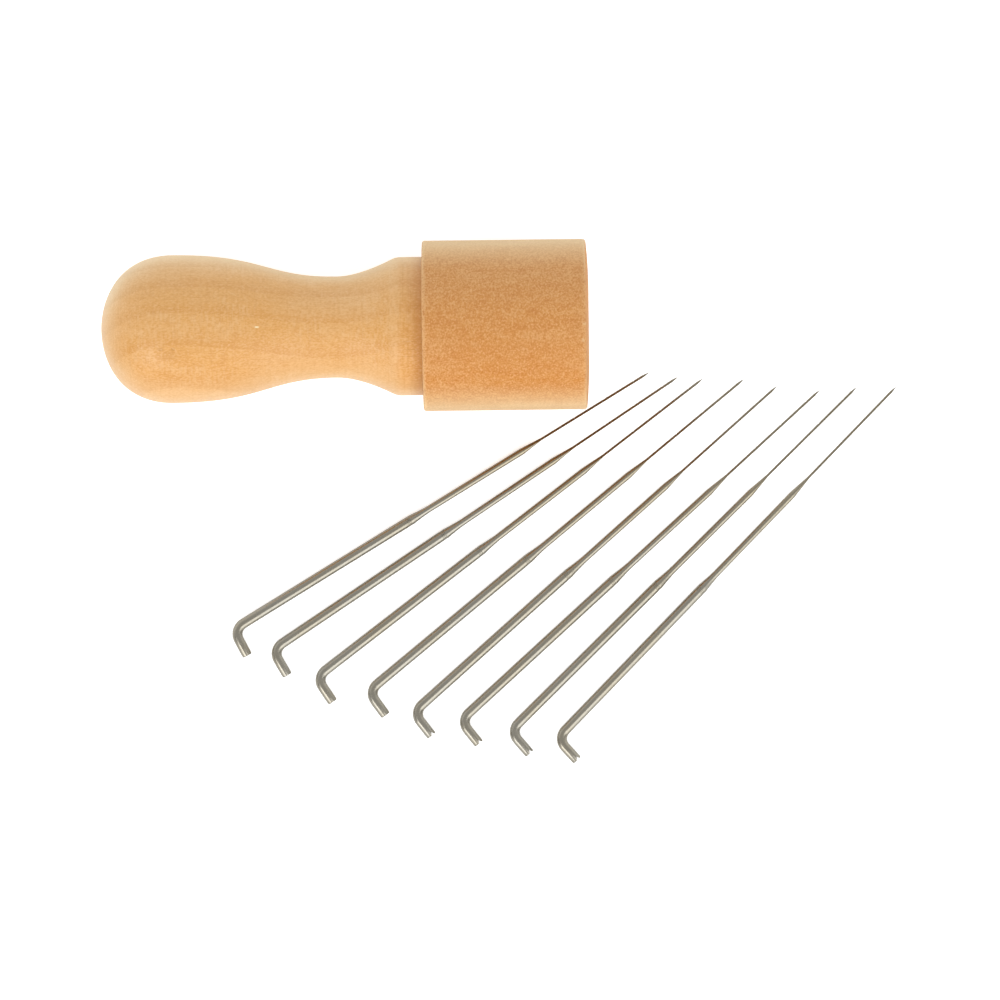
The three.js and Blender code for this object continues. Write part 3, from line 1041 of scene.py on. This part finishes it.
def steel_material(finishes):
    """Polished wire with faint grime, warmer in patches and towards the step, and darker on the blade."""
    material, tree, shader = new_material("needle_wire_steel")
    millimetres = stretched(tree, object_place(tree), (1 / MM, 1 / MM, 1 / MM))
    patches = noise(tree, millimetres, scale=0.12)
    grime = noise(tree, millimetres, scale=1.1)
    station = new_node(tree, "Attribute", attribute_name=STATION).outputs["Fac"]
    warmth = total(tree, ranged(tree, patches, 0.35, 0.65, 0.0, 0.35),
                   ranged(tree, station, 38.0, 62.0, 0.0, 0.5))
    feed(tree, shader, {
        "Base Color": laid_over(tree, finishes.steel, [
            (finishes.steel_warm, warmth),
            (finishes.steel_blade, ranged(tree, station, 60.0, 68.0, 0.0, 0.8)),
        ]),
        "Metallic": 1.0,
        "Roughness": ranged(tree, grime, 0.35, 0.7, 0.22, 0.3),
        "Specular Tint": (0.72, 0.7, 0.66, 1.0),
        "Normal": bumped(tree, grime, 0.06, 0.02),
    })
    return material


def floor_material(studio):
    """Matt white paper sweep; what the camera and the steel see of it is lifted towards plain white."""
    material, tree, shader = new_material("white_paper_floor")
    tone = noise(tree, object_place(tree), scale=3.0)
    path = new_node(tree, "LightPath").outputs
    mirrored = maths(tree, "MAXIMUM", path["Is Glossy Ray"], path["Is Transmission Ray"])
    feed(tree, shader, {
        "Base Color": mixed(tree, tone, (0.97, 0.97, 0.97), (0.985, 0.985, 0.985)),
        "Roughness": 0.9,
        "Specular IOR Level": 0.0,
        "Emission Color": (1, 1, 1, 1),
        "Emission Strength": total(tree, product(tree, path["Is Camera Ray"], studio.floor_lift),
                                   product(tree, mirrored, studio.mirror_lift)),
    })
    return material


# Stage

FLOOR_SIZE = 6
SENSOR_WIDTH = 36
FARTHEST_SEEN = 100


def add_softbox(name, location, size, watts):
    """A rectangular light that is aimed at the middle of the set."""
    light = add_object(bpy.ops.object.light_add, name, type="AREA", location=location)
    light.data.shape = "RECTANGLE"
    light.data.size, light.data.size_y = size
    light.data.energy = watts
    light.rotation_euler = Vector(location).to_track_quat("Z", "Y").to_euler()


def light_world(studio):
    """A room that is brightest behind the set, dimmer overhead and darkest in front."""
    world = bpy.data.worlds.new("studio")
    bpy.context.scene.world = world
    world.use_nodes = True
    tree = world.node_tree
    tree.nodes.clear()
    direction = new_node(tree, "TexCoord").outputs["Generated"]
    parts = new_node(tree, "SeparateXYZ", {"Vector": direction}).outputs
    walls = ranged(tree, parts["Y"], -0.4, 0.4, studio.front, studio.back)
    room = ranged(tree, parts["Z"], 0.05, 0.95, walls, studio.zenith)
    shown = new_node(tree, "Background", {"Color": (1, 1, 1, 1), "Strength": room})
    feed(tree, new_node(tree, "OutputWorld"), {"Surface": shown.outputs[0]})


def add_camera(studio):
    """Long lens above the set, leaning a little towards the bulb end."""
    target = Matrix.Translation((studio.centre_x, studio.centre_y, 0))
    lean = Matrix.Rotation(-studio.camera_lean, 4, "Y")
    stand_off = Matrix.Translation((0, 0, studio.camera_distance))
    half_width = studio.picture / 2 / studio.scale * MM
    camera = add_object(bpy.ops.object.camera_add, "camera")
    camera.matrix_world = target @ lean @ stand_off
    camera.data.sensor_width = SENSOR_WIDTH
    camera.data.sensor_fit = "HORIZONTAL"
    camera.data.lens = SENSOR_WIDTH / 2 * studio.camera_distance / half_width
    camera.data.clip_end = FARTHEST_SEEN
    bpy.context.scene.camera = camera


class FELTING_OT_stage(bpy.types.Operator):
    """Lay the white floor, hang the softboxes and set the camera"""
    bl_idname = "felting.stage"
    bl_label = "Stage"

    def execute(self, context):
        studio = context.scene.felting_studio
        floor = add_object(bpy.ops.mesh.primitive_plane_add, "paper_floor", size=FLOOR_SIZE)
        floor.data.materials.append(floor_material(studio))
        add_softbox("key_softbox", (0.64, -0.79, 0.72), (0.8, 1.3), studio.key_power)
        add_softbox("fill_softbox", (-0.62, -0.76, 0.75), (0.7, 0.6), studio.fill_power)
        add_softbox("side_softbox", (-0.76, -0.92, 0.3), (0.6, 0.4), studio.side_power)
        add_softbox("strip_softbox", (-0.08, -1.14, 0.58), (0.95, 0.3), studio.strip_power)
        light_world(studio)
        add_camera(studio)
        context.scene.view_settings.view_transform = "Standard"
        return {"FINISHED"}


class FELTING_PT_panel(bpy.types.Panel):
    """Sidebar panel with one button for each piece and the stage"""
    bl_idname = "FELTING_PT_panel"
    bl_label = "Felting tool"
    bl_space_type = "VIEW_3D"
    bl_region_type = "UI"
    bl_category = "Felting tool"

    def draw(self, context):
        layout = self.layout
        for operator in OPERATORS:
            layout.operator(operator.bl_idname)
        for name in SETTINGS:
            group = getattr(context.scene, name)
            box = layout.box()
            for setting in setting_names(group):
                box.prop(group, setting)


SETTINGS = {
    "felting_handle": HandleSizes,
    "felting_cap": CapSizes,
    "felting_needle": NeedleSizes,
    "felting_finishes": Finishes,
    "felting_studio": Studio,
}
OPERATORS = (FELTING_OT_handle, FELTING_OT_cap, FELTING_OT_needles, FELTING_OT_stage)
CLASSES = (*SETTINGS.values(), *OPERATORS, FELTING_PT_panel)


def register():
    for cls in CLASSES:
        bpy.utils.register_class(cls)
    for name, group in SETTINGS.items():
        setattr(bpy.types.Scene, name, bpy.props.PointerProperty(type=group))


def unregister():
    for name in SETTINGS:
        delattr(bpy.types.Scene, name)
    for cls in reversed(CLASSES):
        bpy.utils.unregister_class(cls)


def write_sizes():
    """Updates the view layer once every piece is built."""
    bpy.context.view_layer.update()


def main():
    register()
    bpy.ops.felting.handle()
    bpy.ops.felting.cap()
    bpy.ops.felting.needles()
    bpy.ops.felting.stage()
    write_sizes()


if __name__ == "__main__":
    main()
